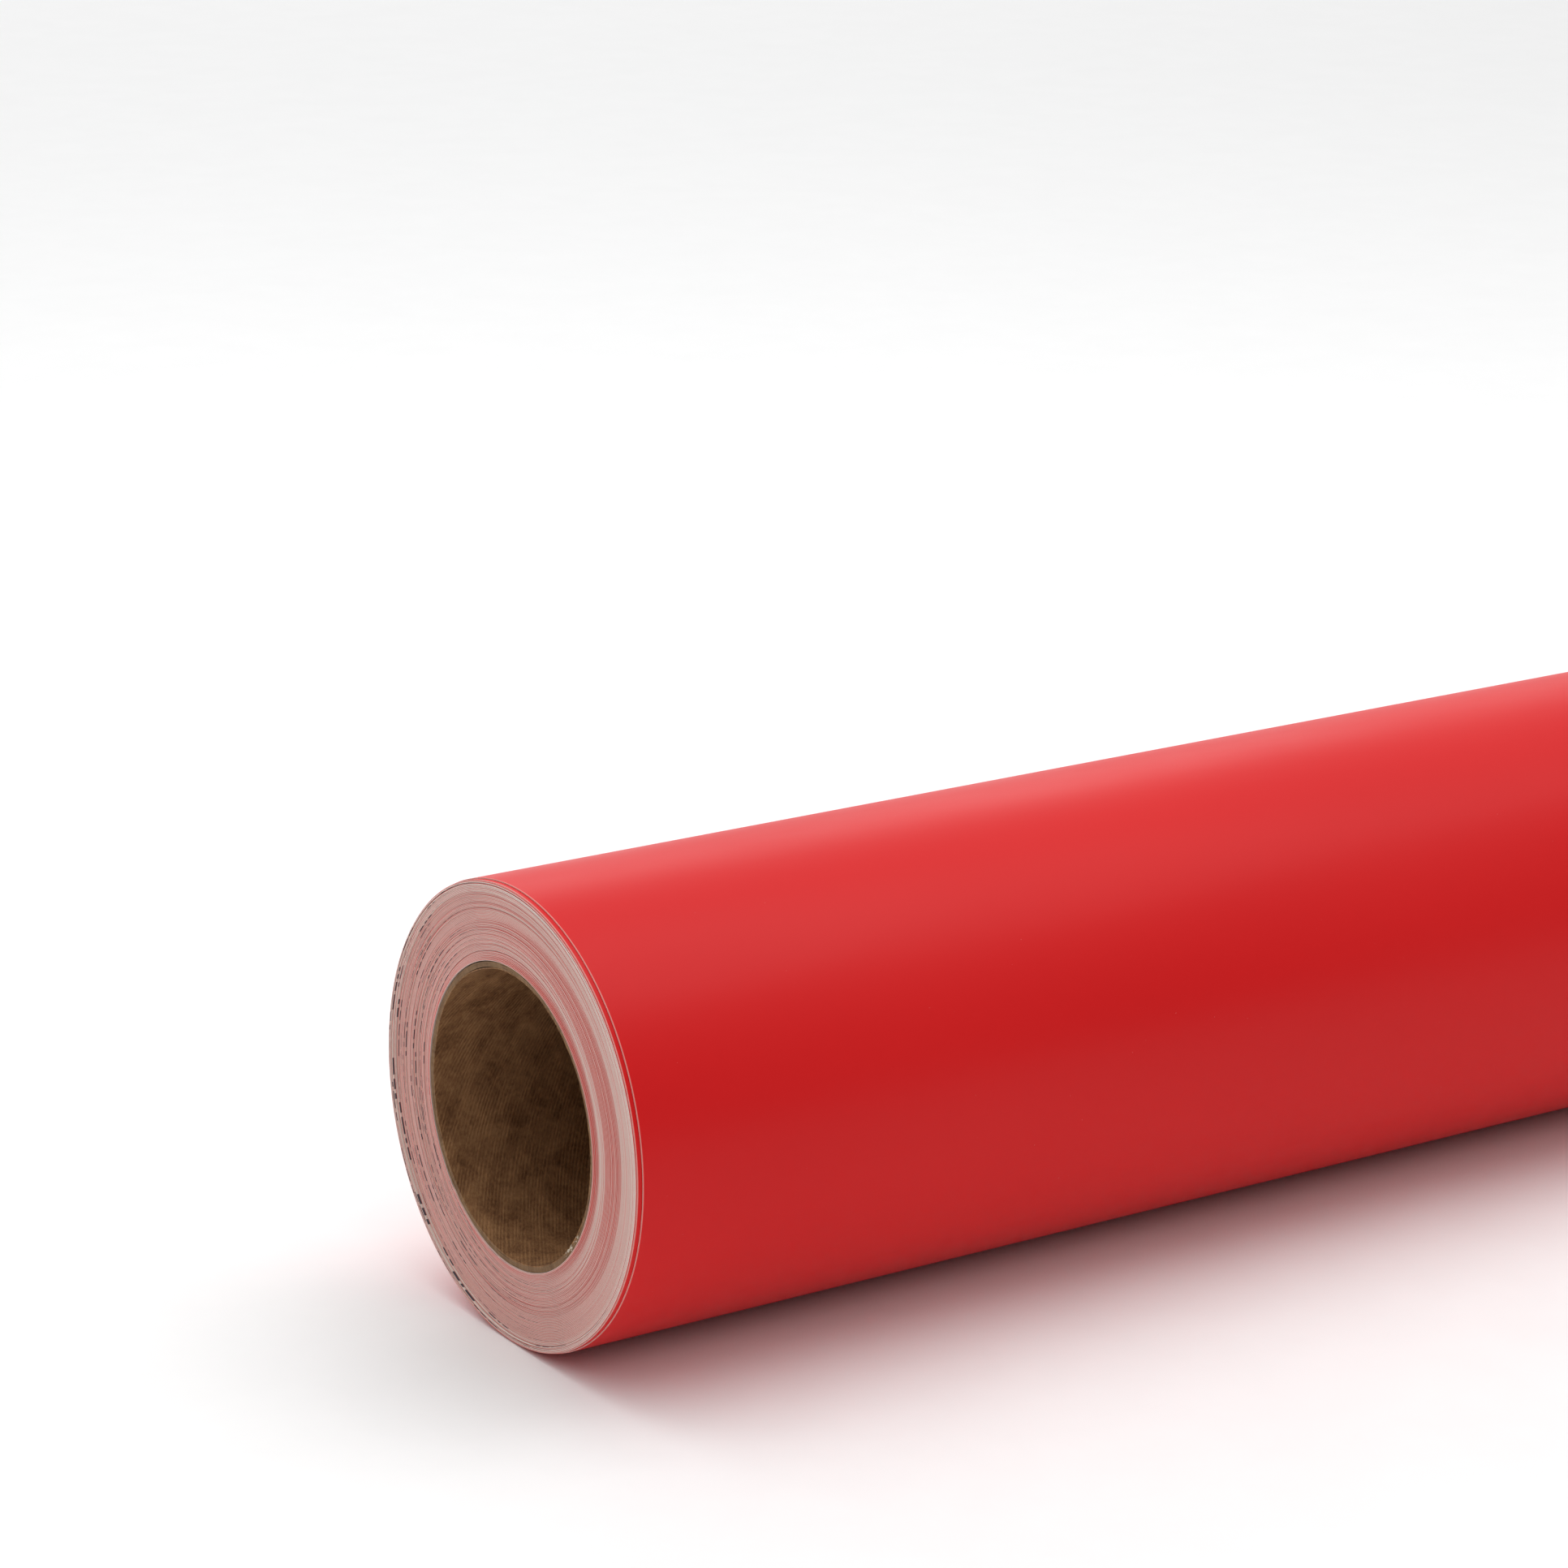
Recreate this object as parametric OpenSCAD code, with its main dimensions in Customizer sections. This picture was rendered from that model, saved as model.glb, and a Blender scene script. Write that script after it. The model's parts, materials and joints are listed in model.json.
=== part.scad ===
// Roll of self-adhesive sign vinyl on a spiral-wound paperboard core.
// The roll lies on its side. The core's axis is the X axis and its middle is the origin.
// The web is three sheets wound together: a paper liner inside, adhesive on it, and the film outside.

/* [Core] */
// Bore of the core, a 3 inch spindle size
core_bore_d = 76.2; // [76.2:0.1:77]
// Thickness of one paper ply
ply_t = 0.35; // [0.3:0.05:0.8]
// Length of the core
core_length = 610; // [300:1:1380]
// How far the core's end lies inside the end of the wound pack
core_recess = 0.7; // [0:0.1:2]

/* [Web] */
// Width of the web, which is the length of the roll
web_width = 610; // [300:1:1380]
// Thickness of the paper release liner
liner_t = 0.16; // [0.1:0.01:0.2]
// Thickness of the adhesive
adhesive_t = 0.03; // [0.02:0.01:0.05]
// Thickness of the vinyl film
film_t = 0.08; // [0.05:0.01:0.1]
// Air that stays between one turn and the next
air_gap = 0.02; // [0.02:0.01:0.04]
// Number of full turns on the core
turns = 72; // [20:1:90]
// How far the second-last wrap is set back from the end of the pack
second_setback = 0.3; // [0:0.1:2]
// How far the last wrap is set back from the end of the pack
outer_setback = 1.7; // [0:0.1:4]

/* [Tail] */
// Angle round the roll where the web ends, from +Y towards +Z
tip_angle = -45; // [-60:1:0]
// Number of equal leaves between the fixed wrap and the tail's end
tail_leaves = 5; // [3:1:6]
// Angle that one of these leaves spans
leaf_angle = 15; // [10:1.25:15]
// Angle of the tail's end where the film stays on its liner
bonded_angle = 10; // [7.5:1.25:15]
// Angle of the tail's end where the film peels off its liner
peel_angle = 20; // [15:1.25:30]

/* [Tape] */
// Thickness of the starter tape between core and web
starter_t = 0.08; // [0.05:0.01:0.1]
// Angle that the starter tape covers
starter_angle = 28; // [10:1:60]
// Distance from the starter tape's end to the web's edge
starter_inset = 5; // [0:1:20]
// Thickness of the tape tabs on the tail
tab_t = 0.06; // [0.04:0.01:0.1]
// Width of a tape tab along the roll
tab_width = 25; // [12:1:50]
// Distance from a tape tab to the web's edge
tab_inset = 60; // [20:5:150]
// Angle of a tape tab that is stuck on the tail
tab_on_tail = 9; // [4:1:14]
// Angle of a tape tab that is stuck on the wrap below
tab_on_roll = 12; // [4:1:20]
// Clearance under a tape tab, where it lifts off the wrap below
tab_clearance = 0.02; // [0.02:0.01:0.05]

/* [Hidden] */
$fn = 180;
PLIES = ["core_inner_ply", "core_ply_2", "core_ply_3", "core_ply_4", "core_outer_ply"];
LAYERS = ["liner", "adhesive", "film"];
WRAPS = ["wound", "second_wrap", "outer_wrap"];

core_r = core_bore_d / 2 + len(PLIES) * ply_t;

// Radius from the half-turn's own centre to the inside of each layer, and each layer's thickness
layer_t = [liner_t, adhesive_t, film_t];
layer_base = [0, liner_t, liner_t + adhesive_t];
web_t = liner_t + adhesive_t + film_t;

// Layers that peel off the liner together: adhesive and film
peeling = [1, 2];

// The spiral is made of half turns. Their centres lie half a pitch apart on the line through the web's end.
pitch = web_t + air_gap;
half_turns = 2 * turns;
centre_shift = pitch / 4;
first_r = core_r + starter_t + centre_shift;

pack_x = -core_length / 2 - core_recess;
second_x = pack_x + second_setback;
outer_x = pack_x + outer_setback;
end_angle = bonded_angle + peel_angle;
tail_angle = tail_leaves * leaf_angle + end_angle;

// Half turns that belong to each wrap: [first, last]
wound_span = [0, half_turns - 5];
second_span = [half_turns - 4, half_turns - 3];
outer_full = half_turns - 2;
last_half = half_turns - 1;

// Angle of one flat strip of a leaf's outline, which keeps it within 0.004 mm of the arc. Each of the tail's angles
// is a multiple of it, so that the strips of one layer lie flat on the strips of the next.
leaf_step = 1.25;

ply_colours = ["#6b4a2c", "#a98257", "#b18a5e", "#a98257", "#b89468"];
layer_colours = ["#e6e2dc", "#e9d9b8", "#c4272a"];

// Turns a shape that was made round Z so that Z lies along the roll, X points to +Y and Y points to +Z
module along_roll() {
    rotate([90, 0, 90]) children();
}

// Turns a shape so that its zero angle is where the web ends
module from_web_end() {
    along_roll() rotate([0, 0, tip_angle]) children();
}

// Part of a ring: inner radius, thickness, first angle, angle spanned, and where it lies along the roll
module ring_part(r, t, start, span, x, length) {
    translate([0, 0, x])
        rotate_extrude(angle = span, start = start)
            translate([r, 0])
                square([t, length]);
}

// Centre of half turn k: odd half turns lie above the line through the web's end, even ones below it
function half_centre(k) = (k % 2 == 1) ? centre_shift : -centre_shift;
function half_radius(k) = first_r + k * pitch / 2;

// Points along an arc
function arc_points(r, start, span, steps) =
    [for (i = [0 : steps]) let (a = start + span * i / steps) [r * cos(a), r * sin(a)]];

// A thin strip with the outline of a short arc, made of narrow flat strips: it has a common edge with the
// strip above it and below it at each point
module leaf_part(r, t, start, span, x, length) {
    steps = ceil(span / leaf_step);
    outside = arc_points(r + t, start, span, steps);
    inside = arc_points(r, start + span, -span, steps);
    translate([0, 0, x])
        linear_extrude(height = length)
            polygon(concat(outside, inside));
}

// Part of one layer in half turn k, from a first angle inside the half turn
module web_arc(k, layer, x, start = 0, span = 180) {
    side = (k % 2 == 1) ? 0 : 180;
    translate([half_centre(k), 0, 0])
        ring_part(half_radius(k) + layer_base[layer], layer_t[layer], side + start, span, x, web_width);
}

module core_ply(i) {
    color(ply_colours[i])
        along_roll()
            translate([0, 0, -core_length / 2])
                difference() {
                    cylinder(r = core_bore_d / 2 + (i + 1) * ply_t, h = core_length);
                    translate([0, 0, -1])
                        cylinder(r = core_bore_d / 2 + i * ply_t, h = core_length + 2);
                }
}

// Double-sided tape under the first edge of the web. It fills the space between core and web.
module starter_tape() {
    steps = ceil(starter_angle / leaf_step);
    on_core = arc_points(core_r / cos(starter_angle / steps / 2), 0, -starter_angle, steps);
    under_web = [
        for (p = arc_points(half_radius(0), -starter_angle, starter_angle, steps)) p + [half_centre(0), 0]
    ];
    color("#d8c48a")
        from_web_end()
            translate([0, 0, pack_x + starter_inset])
                linear_extrude(height = web_width - 2 * starter_inset)
                    polygon(concat(on_core, under_web));
}

// A run of half turns of one layer
module wrap(layer, span, x) {
    color(layer_colours[layer])
        from_web_end()
            for (k = [span[0] : span[1]])
                web_arc(k, layer, x);
}

// The last wrap, up to the line where the loose tail begins
module outer_wrap(layer) {
    color(layer_colours[layer])
        from_web_end() {
            web_arc(outer_full, layer, outer_x);
            web_arc(last_half, layer, outer_x, tail_angle, 180 - tail_angle);
        }
}

// Part of the loose tail, from a first angle above the web's end
module tail_part(layer, start, span) {
    color(layer_colours[layer])
        from_web_end()
            translate([half_centre(last_half), 0, 0])
                leaf_part(half_radius(last_half) + layer_base[layer], layer_t[layer], start, span, outer_x, web_width);
}

// One of the equal leaves. Leaf 1 is next to the fixed wrap.
module tail_leaf(leaf, layer) {
    tail_part(layer, tail_angle - leaf * leaf_angle, leaf_angle);
}

// The tail's end: its liner is one piece, and its film and adhesive stop where the film peels off
module tail_end(layer) {
    if (LAYERS[layer] == "liner")
        tail_part(layer, 0, end_angle);
    else
        tail_part(layer, peel_angle, bonded_angle);
}

// A tape tab over the tail's edge: on the film, down the step at the edge, and on the wrap below
module tail_tape(x) {
    tail_r = half_radius(last_half) + web_t;
    roll_r = half_radius(outer_full) + web_t + tab_clearance;
    step_angle = 2;
    step_t = tail_r + tab_t + 2 * centre_shift - roll_r;
    color("#ead9a6")
        from_web_end() {
            translate([half_centre(last_half), 0, 0])
                ring_part(tail_r, tab_t, 0, tab_on_tail, x, tab_width);
            translate([half_centre(outer_full), 0, 0]) {
                ring_part(roll_r, step_t, -step_angle, step_angle, x, tab_width);
                ring_part(roll_r, tab_t, -tab_on_roll, tab_on_roll - step_angle, x, tab_width);
            }
        }
}

for (i = [0 : len(PLIES) - 1])
    core_ply(i);

starter_tape();

for (layer = [0 : len(LAYERS) - 1]) {
    wrap(layer, wound_span, pack_x);
    wrap(layer, second_span, second_x);
    outer_wrap(layer);
    for (leaf = [1 : tail_leaves])
        tail_leaf(leaf, layer);
    tail_end(layer);
}

for (layer = peeling)
    tail_part(layer, 0, peel_angle);

tail_tape(outer_x + tab_inset);  // tail_tape_near
tail_tape(outer_x + web_width - tab_inset - tab_width);  // tail_tape_far
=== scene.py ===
"""Roll of self-adhesive sign vinyl lying on its side: core, wound web, loose tail, lights and camera.

The web is three sheets wound together: release liner inside, adhesive on it, red film outside. Every
length is in metres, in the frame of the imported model: X along the roll, Z up, the tail at the back (+Y).
"""
import json
import math

import bpy
import numpy as np
from mathutils import Matrix, Vector


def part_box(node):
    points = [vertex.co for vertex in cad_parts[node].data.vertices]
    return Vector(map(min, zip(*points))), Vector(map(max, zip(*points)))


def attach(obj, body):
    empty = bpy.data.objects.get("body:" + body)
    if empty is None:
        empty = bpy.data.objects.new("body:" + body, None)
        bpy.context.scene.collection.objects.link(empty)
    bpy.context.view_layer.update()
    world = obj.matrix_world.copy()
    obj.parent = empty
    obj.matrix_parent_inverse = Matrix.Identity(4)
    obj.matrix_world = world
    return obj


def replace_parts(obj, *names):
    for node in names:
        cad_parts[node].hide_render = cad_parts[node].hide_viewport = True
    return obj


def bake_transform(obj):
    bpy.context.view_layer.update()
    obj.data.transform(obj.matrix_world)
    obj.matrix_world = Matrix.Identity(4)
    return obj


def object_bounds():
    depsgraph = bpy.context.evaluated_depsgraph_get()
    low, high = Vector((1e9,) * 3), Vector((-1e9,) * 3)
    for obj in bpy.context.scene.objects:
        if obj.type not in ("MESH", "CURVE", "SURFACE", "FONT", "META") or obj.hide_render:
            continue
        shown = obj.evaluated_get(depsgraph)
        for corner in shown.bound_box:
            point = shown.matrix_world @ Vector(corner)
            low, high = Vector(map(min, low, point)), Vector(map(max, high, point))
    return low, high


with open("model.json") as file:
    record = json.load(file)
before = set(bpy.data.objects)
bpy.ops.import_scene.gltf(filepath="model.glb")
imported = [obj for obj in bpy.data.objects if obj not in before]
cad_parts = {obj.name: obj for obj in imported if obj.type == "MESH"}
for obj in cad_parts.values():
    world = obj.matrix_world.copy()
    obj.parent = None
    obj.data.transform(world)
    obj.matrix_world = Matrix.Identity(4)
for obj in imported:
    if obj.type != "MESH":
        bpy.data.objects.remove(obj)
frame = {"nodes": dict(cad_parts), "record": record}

MM = 0.001
RED_FILM, ADHESIVE, LINER = "film", "adhesive", "liner"

# ---------------------------------------------------------------- sizes, as the CAD model is made
LAYER_T = {LINER: 0.16 * MM, ADHESIVE: 0.03 * MM, RED_FILM: 0.08 * MM}
LAYER_BASE = {LINER: 0.0, ADHESIVE: LAYER_T[LINER], RED_FILM: LAYER_T[LINER] + LAYER_T[ADHESIVE]}
WEB_T = sum(LAYER_T.values())
AIR_GAP = 0.02 * MM
PITCH = WEB_T + AIR_GAP
STARTER_T = 0.08 * MM
# Turns of the whole web, and of the part before the last two wraps
TURNS = 72
WOUND_TURNS = 70
# Angle round the roll where the web ends, from +Y towards +Z
TIP_ANGLE = math.radians(-45)
# The loose tail: leaves of equal angle, then the end, whose film peels from PEEL_START to the tip
LEAVES = 5
LEAF = math.radians(15)
TAIL_END = math.radians(30)
# Angles of a tape tab on the tail, on the wrap below, and over the step between them
TAB_ON_TAIL, TAB_ON_ROLL, TAB_STEP = math.radians(9), math.radians(12), math.radians(2)
TAB_T = 0.06 * MM
TAB_CLEARANCE = 0.02 * MM
PLIES = ["core_inner_ply", "core_ply_2", "core_ply_3", "core_ply_4", "core_outer_ply"]

cad_low, cad_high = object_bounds()
BORE_R = next(m["dims"]["r_mm"] for m in frame["record"]["mounts"] if m["name"] == "core_bore") * MM
CORE_NEAR, CORE_FAR = (corner.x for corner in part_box("core_inner_ply"))
PACK_NEAR, PACK_FAR = (corner.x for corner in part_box("wound_film"))
SECOND_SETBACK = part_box("second_wrap_film")[0].x - PACK_NEAR
OUTER_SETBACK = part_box("outer_wrap_film")[0].x - PACK_NEAR
WEB_WIDTH = PACK_FAR - PACK_NEAR
CORE_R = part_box("core_outer_ply")[1].z
PLY_T = (CORE_R - BORE_R) / len(PLIES)
FIRST_R = CORE_R + STARTER_T + PITCH / 4
ROLL_R = 61 * MM  # near enough for lengths along the outermost wrap
FLOOR_Z = cad_low.z
TWO_PI = 2 * math.pi


# ---------------------------------------------------------------- smooth random curves and surfaces
def wave_noise(points, scale, seed, octaves=4):
    """Smooth noise between about -1 and 1 at an array of points, made of plane waves in seeded directions."""
    own = np.random.default_rng(seed)
    points = np.atleast_2d(points)
    total = np.zeros(len(points))
    for octave in range(octaves):
        for _ in range(5):
            direction = own.normal(size=points.shape[1])
            direction /= np.linalg.norm(direction)
            wavelength = scale / 1.7 ** octave * own.uniform(0.8, 1.3)
            total += np.sin(points @ direction * TWO_PI / wavelength + own.uniform(0, TWO_PI)) / 1.6 ** octave
    return total / 5


def ring_noise(angle, seed, lowest=1, highest=24, fall=0.8):
    """Smooth noise between about -1 and 1 round a full circle, with the same value at both ends."""
    own = np.random.default_rng(seed)
    total = np.zeros_like(np.asarray(angle, float))
    for n in range(lowest, highest + 1):
        total += own.normal() / n ** fall * np.sin(n * angle + own.uniform(0, TWO_PI))
    return total / 2


# ---------------------------------------------------------------- meshes
def make_object(name, vertices, faces, material, smooth_angle=30, uv=None):
    """A mesh object from arrays. uv holds a pair of numbers for each vertex, stored as the map named web."""
    mesh = bpy.data.meshes.new(name)
    mesh.from_pydata([tuple(v) for v in np.asarray(vertices, float)], [], [tuple(f) for f in faces])
    mesh.validate()
    mesh.shade_smooth()
    mesh.set_sharp_from_angle(angle=math.radians(smooth_angle))
    if uv is not None:
        layer = mesh.uv_layers.new(name="web")
        corner = np.zeros(len(mesh.loops), int)
        mesh.loops.foreach_get("vertex_index", corner)
        layer.data.foreach_set("uv", np.asarray(uv, np.float32)[corner].ravel())
    mesh.materials.append(material)
    obj = bpy.data.objects.new(name, mesh)
    bpy.context.scene.collection.objects.link(obj)
    return obj


def grid_faces(rows, columns, first=0, flip=False, closed=False):
    """Quads of a grid of rows x columns points. closed joins the last row to the first."""
    faces = []
    for i in range(rows if closed else rows - 1):
        a, b = first + i * columns, first + (i + 1) % rows * columns
        for j in range(columns - 1):
            quad = (a + j, b + j, b + j + 1, a + j + 1)
            faces.append(quad[::-1] if flip else quad)
    return faces


def slab(outer, inner, rows, columns, closed=False):
    """Vertices and faces of a closed thin solid between two grids of rows x columns points."""
    count = rows * columns
    faces = grid_faces(rows, columns, closed=closed)
    faces += grid_faces(rows, columns, first=count, flip=True, closed=closed)
    for i in range(rows if closed else rows - 1):
        a, b = i * columns, (i + 1) % rows * columns
        faces.append((a, a + count, b + count, b))
        a, b = a + columns - 1, b + columns - 1
        faces.append((a, b, b + count, a + count))
    if not closed:
        for j in range(columns - 1):
            faces.append((j, j + 1, j + 1 + count, j + count))
            a = (rows - 1) * columns + j
            faces.append((a, a + count, a + 1 + count, a + 1))
    return np.vstack([outer, inner]), faces


# ---------------------------------------------------------------- the web's path round the roll
def web_angle(beta):
    """Winding angle, from the start of the web, of a place beta above the web's end in its last half turn."""
    return TURNS * TWO_PI - beta


def web_point(winding, height, x):
    """Points of the web at arrays of winding angle, height above the liner's inner face, and x.

    Each half turn is an arc, and the arcs' two centres lie half a pitch apart, as in the CAD model.
    """
    half = np.clip(np.floor(winding / math.pi + 1e-9), 0, 2 * TURNS - 1)
    centre = np.where(half % 2 == 1, PITCH / 4, -PITCH / 4)
    radius = FIRST_R + half * PITCH / 2 + height
    y = centre + radius * np.cos(-winding)
    z = radius * np.sin(-winding)
    c, s = math.cos(TIP_ANGLE), math.sin(TIP_ANGLE)
    return np.stack([x, c * y - s * z, s * y + c * z], -1)


def web_distance(winding):
    """Distance along the web from its start."""
    return FIRST_R * winding + PITCH * winding ** 2 / (4 * math.pi)


def smooth_step(value, low, high):
    """0 below low, 1 above high, and a smooth rise between."""
    t = np.clip((value - low) / (high - low), 0, 1)
    return t * t * (3 - 2 * t)


# How far the web's edge lies behind the pack's face, as pairs of turn number and millimetres, at the roll's
# front and at its rear. Where the values rise the film's face shows, where they fall the liner's back does.
FRONT_EDGE = [(0, -0.05), (5, 1.0), (20.5, 0.0), (38, 1.6), (62, 0.3), (70, 0.0)]
REAR_EDGE = [
    (0, 0.45), (9, 1.6), (17, 1.58), (17.3, 1.36), (26, 1.34), (26.3, 1.14), (38, 1.12), (38.3, 0.96),
    (61.1, 0.9), (61.4, 0.5), (66.1, 0.4), (66.4, 0.0), (70, -0.05),
]
REAR_ANGLE = math.radians(-10)
FRONT_BLUR = 1.2  # turns over which the front's corners are rounded
# How far single wraps stand out at the front, at the rear, and more at the rear over the loose outer turns
FRONT_JITTER, REAR_JITTER, LOOSE_JITTER = 0.025 * MM, 0.1 * MM, 0.12 * MM
LOOSE_TURNS = (60, 66)
JITTER_PER_TURN = 1.63  # not a whole number, so that the turns change at different angles
JITTER_LIMIT = 2.5
CHANGE_TURNS = 0.12  # part of a turn over which the last wraps' edges move to their own set-back


def edge_jitter():
    """Random values along the web. Their cube leaves most wraps flush and lets a few stand out."""
    count = math.ceil(TURNS * JITTER_PER_TURN) + 2
    values = 0.6 * np.random.default_rng(24).normal(size=count) ** 3
    return np.clip(values, -JITTER_LIMIT, JITTER_LIMIT)


jitter_knots = edge_jitter()


def edge_setback(winding):
    """How far the web's near edge lies behind the pack's face. The web's width is constant."""
    turn = winding / TWO_PI
    rear_share = 0.5 + 0.5 * np.cos(TIP_ANGLE - winding - REAR_ANGLE)
    front = sum(np.interp(turn + shift, *zip(*FRONT_EDGE)) for shift in (-FRONT_BLUR, 0, FRONT_BLUR)) / 3
    rear = np.interp(turn, *zip(*REAR_EDGE))
    wound = (front * (1 - rear_share) + rear * rear_share) * MM
    place = turn * JITTER_PER_TURN
    below = np.floor(place).astype(int)
    blend = smooth_step(place - below, 0, 1)
    jitter = jitter_knots[below] * (1 - blend) + jitter_knots[below + 1] * blend
    loose = LOOSE_JITTER * smooth_step(turn, *LOOSE_TURNS)
    wound += jitter * (FRONT_JITTER + (REAR_JITTER + loose) * rear_share)
    second = smooth_step(turn, WOUND_TURNS, WOUND_TURNS + CHANGE_TURNS)
    last = smooth_step(turn, WOUND_TURNS + 1, WOUND_TURNS + 1 + CHANGE_TURNS)
    return wound * (1 - second) + SECOND_SETBACK * (second - last) + OUTER_SETBACK * last


def mark_back(piece, front_count):
    """Stores which points are on the liner's back, the side that carries the print."""
    back = piece.data.attributes.new("back", "FLOAT", "POINT")
    back.data.foreach_set("value", np.arange(2 * front_count) >= front_count)


# Spacing of the last wrap's ripples along the web, and what a length across it counts for beside one along it
RIPPLE_SPACING, RIPPLE_STRETCH = 110 * MM, 0.45


def web_piece(name, layer, start, end, steps, material, columns=1, ripple=0.0):
    """A stretch of one layer of the web, as a closed solid, between two winding angles."""
    winding = np.linspace(start, end, steps + 1)
    across = np.linspace(0, 1, columns + 1)
    w = np.repeat(winding, columns + 1)
    v = np.tile(across, steps + 1)
    x = PACK_NEAR + edge_setback(w) + v * WEB_WIDTH
    lift = 0.0
    if ripple:
        place = np.stack([web_distance(w), RIPPLE_STRETCH * x], -1)
        lift = ripple * wave_noise(place, RIPPLE_SPACING, 5, octaves=2)
    base, thickness = LAYER_BASE[layer], LAYER_T[layer]
    outer = web_point(w, base + thickness + lift, x)
    inner = web_point(w, base + lift, x)
    vertices, faces = slab(outer, inner, steps + 1, columns + 1)
    uv = np.tile(np.stack([web_distance(w), v * WEB_WIDTH], -1), (2, 1))
    piece = make_object(name, vertices, faces, material, uv=uv)
    if layer == LINER:
        mark_back(piece, len(w))
    return piece


# ---------------------------------------------------------------- materials
class Nodes:
    """A material with one Principled node, and short ways to add the nodes that feed it."""

    def __init__(self, name, **values):
        self.material = bpy.data.materials.new(name)
        self.material.use_nodes = True
        self.tree = self.material.node_tree
        self.shader = self.tree.nodes["Principled BSDF"]
        for socket, value in values.items():
            self.shader.inputs[socket.replace("_", " ")].default_value = value

    def add(self, kind, **settings):
        """A new node of the given type, with its settings."""
        node = self.tree.nodes.new(kind)
        for key, value in settings.items():
            setattr(node, key, value)
        return node

    def feed(self, socket, source):
        """Links a node's output to a socket, or sets the socket to a constant."""
        if isinstance(source, bpy.types.NodeSocket):
            self.tree.links.new(source, socket)
        else:
            socket.default_value = source

    def web_place(self, along=1.0, across=1.0):
        """Distance along and across the web, in metres, each stretched by a factor."""
        source = self.add("ShaderNodeUVMap", uv_map="web").outputs["UV"]
        return self.scaled(source, (along, across, 1))

    def parts(self, vector):
        """The three numbers of a vector."""
        split = self.add("ShaderNodeSeparateXYZ")
        self.feed(split.inputs[0], vector)
        return split.outputs

    def object_place(self):
        """Place on the object, in metres."""
        return self.add("ShaderNodeTexCoord").outputs["Object"]

    def scaled(self, source, stretch):
        """A vector with each of its numbers multiplied by a factor."""
        node = self.add("ShaderNodeVectorMath", operation="MULTIPLY")
        self.feed(node.inputs[0], source)
        self.feed(node.inputs[1], stretch)
        return node.outputs[0]

    def noise(self, place, scale, detail=3.0, roughness=0.55, distortion=0.0):
        node = self.add("ShaderNodeTexNoise")
        self.feed(node.inputs["Vector"], place)
        node.inputs["Scale"].default_value = scale
        node.inputs["Detail"].default_value = detail
        node.inputs["Roughness"].default_value = roughness
        node.inputs["Distortion"].default_value = distortion
        return node.outputs["Fac"]

    def math(self, operation, a, b=0.0, c=0.0):
        node = self.add("ShaderNodeMath", operation=operation)
        for socket, value in zip(node.inputs, (a, b, c)):
            self.feed(socket, value)
        return node.outputs[0]

    def ranged(self, value, low, high, new_low=0.0, new_high=1.0):
        """Smooth change from new_low to new_high while value goes from low to high."""
        node = self.add("ShaderNodeMapRange", interpolation_type="SMOOTHSTEP")
        for socket, number in zip(node.inputs, (value, low, high, new_low, new_high)):
            self.feed(socket, number)
        return node.outputs[0]

    def mix(self, factor, a, b):
        """Colour a at factor 0 and colour b at factor 1."""
        node = self.add("ShaderNodeMix", data_type="RGBA")
        colour_a, colour_b = (socket for socket in node.inputs if socket.type == "RGBA")
        self.feed(node.inputs[0], factor)
        self.feed(colour_a, a)
        self.feed(colour_b, b)
        return next(socket for socket in node.outputs if socket.type == "RGBA")

    def bump(self, height, distance, strength=1.0, normal=None):
        node = self.add("ShaderNodeBump")
        node.inputs["Strength"].default_value = strength
        node.inputs["Distance"].default_value = distance
        self.feed(node.inputs["Height"], height)
        if normal is not None:
            self.feed(node.inputs["Normal"], normal)
        return node.outputs[0]

    def finish(self, colour, roughness, normal=None):
        """Feeds the shader and gives the finished material."""
        self.feed(self.shader.inputs["Base Color"], colour)
        self.feed(self.shader.inputs["Roughness"], roughness)
        if normal is not None:
            self.feed(self.shader.inputs["Normal"], normal)
        return self.material


def rgb(red, green, blue):
    """A colour given as screen values from 0 to 255, as Blender's linear colour."""
    screen = [value / 255 for value in (red, green, blue)]
    linear = [v / 12.92 if v <= 0.04045 else ((v + 0.055) / 1.055) ** 2.4 for v in screen]
    return (*linear, 1.0)


def film_material():
    """Satin red vinyl: nearly even colour, faint orange peel, slow changes of gloss, a few dust specks."""
    m = Nodes("red_vinyl_film", IOR=1.5, Specular_IOR_Level=0.15)
    broad = m.noise(m.web_place(1, 0.4), 9, detail=2)
    colour = m.mix(m.ranged(broad, 0.3, 0.7), rgb(209, 24, 26), rgb(214, 27, 28))
    dust = m.ranged(m.noise(m.web_place(), 900, detail=1), 0.80, 0.84)
    colour = m.mix(m.math("MULTIPLY", dust, 0.35), colour, rgb(225, 150, 145))
    # Slit edges painted lighter pink: partly whitening by the knife, partly a painted highlight where the
    # edge catches the light
    colour = m.mix(slit_edge_whitening_and_highlight(m), colour, rgb(242, 158, 150))
    roughness = m.ranged(m.noise(m.web_place(1, 0.3), 30, detail=4), 0.3, 0.7, 0.36, 0.42)
    peel = m.bump(m.noise(m.web_place(), 700, detail=2), 0.004 * MM, 0.35)
    slow = m.bump(m.noise(m.web_place(1, 0.25), 22, detail=1), 0.05 * MM, 0.25, peel)
    return m.finish(colour, roughness, slow)


# How light the film's slit edges are painted, in the pack and on the last two wraps: partly whitening by the
# slitting knife, partly a painted highlight of the edge catching the overhead light
PACK_WHITENING_AND_HIGHLIGHT, LAST_WHITENING_AND_HIGHLIGHT = 0.45, 0.8


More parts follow.
